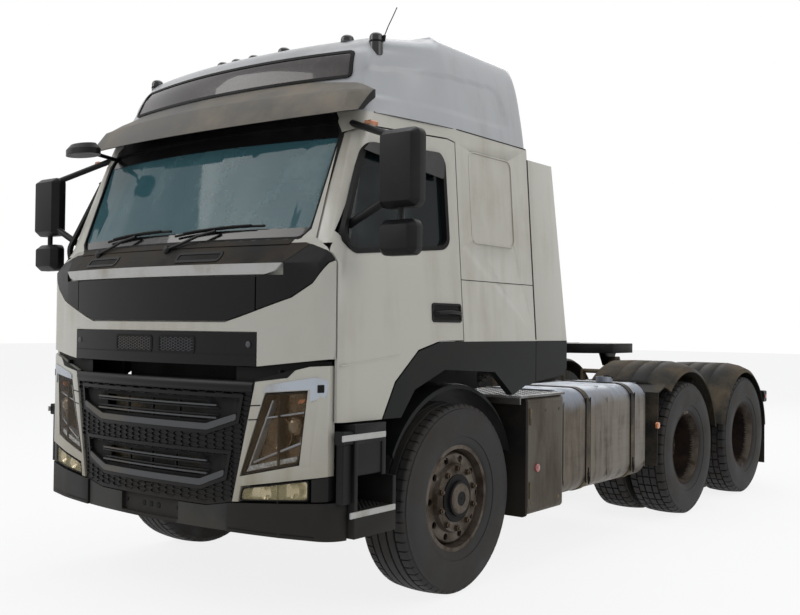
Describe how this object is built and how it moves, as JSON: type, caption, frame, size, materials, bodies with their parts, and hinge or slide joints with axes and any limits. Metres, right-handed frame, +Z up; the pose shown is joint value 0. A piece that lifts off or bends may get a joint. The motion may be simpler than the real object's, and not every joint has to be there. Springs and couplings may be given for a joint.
{
  "type": "semi truck tractor unit",
  "caption": "Three-axle cab-over semi truck tractor with tilting sleeper cab, opening doors, steered front wheels, twin drive wheels and a tilting fifth wheel coupling.",
  "frame": {"origin": "on the ground, in the middle of the footprint", "axes": "+Z up, the truck faces -Y, +X is its left side"},
  "size_m": [3.12, 6.614, 3.1449],
  "materials": {
    "frame_steel": "dusty black frame paint",
    "engine_iron": "dull grey casting",
    "coupling_steel": "greased cast steel",
    "dark_plastic": "weathered black moulding",
    "white_paint": "off-white vehicle paint, dusty",
    "lamp_glass": "aged clear lamp cover",
    "roof_lamp_black": "black lamp housing",
    "window_glass": "green tinted glass",
    "sign_gloss": "dark gloss panel",
    "tank_aluminium": "weathered bare aluminium",
    "box_metal": "dusty sheet metal",
    "flap_rubber": "black rubber flap",
    "seat_fabric": "grey woven upholstery",
    "tyre_rubber": "worn black tyre rubber",
    "wheel_steel": "dusty painted steel wheel"
  },
  "bodies": {
    "chassis": {"frame_rails": "frame_steel", "crossmembers": "frame_steel", "engine": "engine_iron", "front_axle": "frame_steel", "drive_axles": "frame_steel", "leaf_springs": "frame_steel", "front_bumper": "dark_plastic", "lower_grille": "dark_plastic", "corner_panels": "white_paint", "front_lamps": "lamp_glass", "step_boxes": "dark_plastic", "fuel_tanks": "tank_aluminium", "side_boxes": "box_metal", "tank_brackets": "frame_steel", "mudguards": "dark_plastic", "mud_flaps": "flap_rubber", "tail_lamps": "lamp_glass", "fifth_wheel_base": "frame_steel", "deck_plate": "frame_steel"},
    "cab": {"cab_shell": "white_paint", "vent_panel": "dark_plastic", "front_panel": "white_paint", "front_trim": "dark_plastic", "cowl_panel": "dark_plastic", "windscreen": "window_glass", "cab_arches": "dark_plastic", "side_extensions": "white_paint", "sign_panel": "sign_gloss", "roof_cap": "white_paint", "sun_visor": "dark_plastic", "roof_lamps": "roof_lamp_black", "kerb_mirror": "dark_plastic", "tilt_arms": "frame_steel", "dashboard": "dark_plastic", "seats_and_bunk": "seat_fabric"},
    "front_lid": {"front_lid": "dark_plastic"},
    "door_left": {"door_left": "white_paint", "door_glass_left": "window_glass", "mirror_left": "dark_plastic"},
    "door_right": {"door_right": "white_paint", "door_glass_right": "window_glass", "mirror_right": "dark_plastic"},
    "steering_wheel": {"steering_wheel": "dark_plastic"},
    "knuckle_left": {"knuckle_left": "frame_steel"},
    "knuckle_right": {"knuckle_right": "frame_steel"},
    "front_wheel_left": {"front_tyre_left": "tyre_rubber", "front_rim_left": "wheel_steel"},
    "front_wheel_right": {"front_tyre_right": "tyre_rubber", "front_rim_right": "wheel_steel"},
    "first_drive_wheel_left": {"first_drive_tyres_left": "tyre_rubber", "first_drive_rims_left": "wheel_steel"},
    "first_drive_wheel_right": {"first_drive_tyres_right": "tyre_rubber", "first_drive_rims_right": "wheel_steel"},
    "second_drive_wheel_left": {"second_drive_tyres_left": "tyre_rubber", "second_drive_rims_left": "wheel_steel"},
    "second_drive_wheel_right": {"second_drive_tyres_right": "tyre_rubber", "second_drive_rims_right": "wheel_steel"},
    "fifth_wheel": {"fifth_wheel": "coupling_steel"}
  },
  "joints": [
    {"name": "cab_tilt", "type": "hinge", "parent": "chassis", "child": "cab", "pos_m": [0, -3.103, 0.85], "axis": [1, 0, 0], "range_deg": [0, 65]},
    {"name": "front_lid_hinge", "type": "hinge", "parent": "cab", "child": "front_lid", "pos_m": [0, -3.303, 1.742], "axis": [-1, 0, 0], "range_deg": [0, 75]},
    {"name": "door_left_hinge", "type": "hinge", "parent": "cab", "child": "door_left", "pos_m": [1.16, -3.105, 1.4], "axis": [0, 0, -1], "range_deg": [0, 75]},
    {"name": "door_right_hinge", "type": "hinge", "parent": "cab", "child": "door_right", "pos_m": [-1.16, -3.105, 1.4], "axis": [0, 0, 1], "range_deg": [0, 75]},
    {"name": "steering_column", "type": "hinge", "parent": "cab", "child": "steering_wheel", "pos_m": [0.55, -2.573, 2.05], "axis": [0, 0.454, 0.891], "range_deg": [-720, 720]},
    {"name": "kingpin_left", "type": "hinge", "parent": "chassis", "child": "knuckle_left", "pos_m": [0.9, -2.053, 0.535], "axis": [0, 0, 1], "range_deg": [-38, 38]},
    {"name": "kingpin_right", "type": "hinge", "parent": "chassis", "child": "knuckle_right", "pos_m": [-0.9, -2.053, 0.535], "axis": [0, 0, 1], "range_deg": [-38, 38]},
    {"name": "front_hub_left", "type": "hinge", "parent": "knuckle_left", "child": "front_wheel_left", "pos_m": [1.02, -2.053, 0.535], "axis": [1, 0, 0], "continuous": true},
    {"name": "front_hub_right", "type": "hinge", "parent": "knuckle_right", "child": "front_wheel_right", "pos_m": [-1.02, -2.053, 0.535], "axis": [1, 0, 0], "continuous": true},
    {"name": "first_drive_hub_left", "type": "hinge", "parent": "chassis", "child": "first_drive_wheel_left", "pos_m": [0.921, 1.147, 0.535], "axis": [1, 0, 0], "continuous": true},
    {"name": "first_drive_hub_right", "type": "hinge", "parent": "chassis", "child": "first_drive_wheel_right", "pos_m": [-0.921, 1.147, 0.535], "axis": [1, 0, 0], "continuous": true},
    {"name": "second_drive_hub_left", "type": "hinge", "parent": "chassis", "child": "second_drive_wheel_left", "pos_m": [0.921, 2.517, 0.535], "axis": [1, 0, 0], "continuous": true},
    {"name": "second_drive_hub_right", "type": "hinge", "parent": "chassis", "child": "second_drive_wheel_right", "pos_m": [-0.921, 2.517, 0.535], "axis": [1, 0, 0], "continuous": true},
    {"name": "coupling_tilt", "type": "hinge", "parent": "chassis", "child": "fifth_wheel", "pos_m": [0, 1.547, 1.205], "axis": [1, 0, 0], "range_deg": [-12, 12]}
  ],
  "couplings": [
    {"joint": "kingpin_right", "follows": "kingpin_left", "ratio": 1},
    {"joint": "steering_column", "follows": "kingpin_left", "ratio": 18.9}
  ]
}
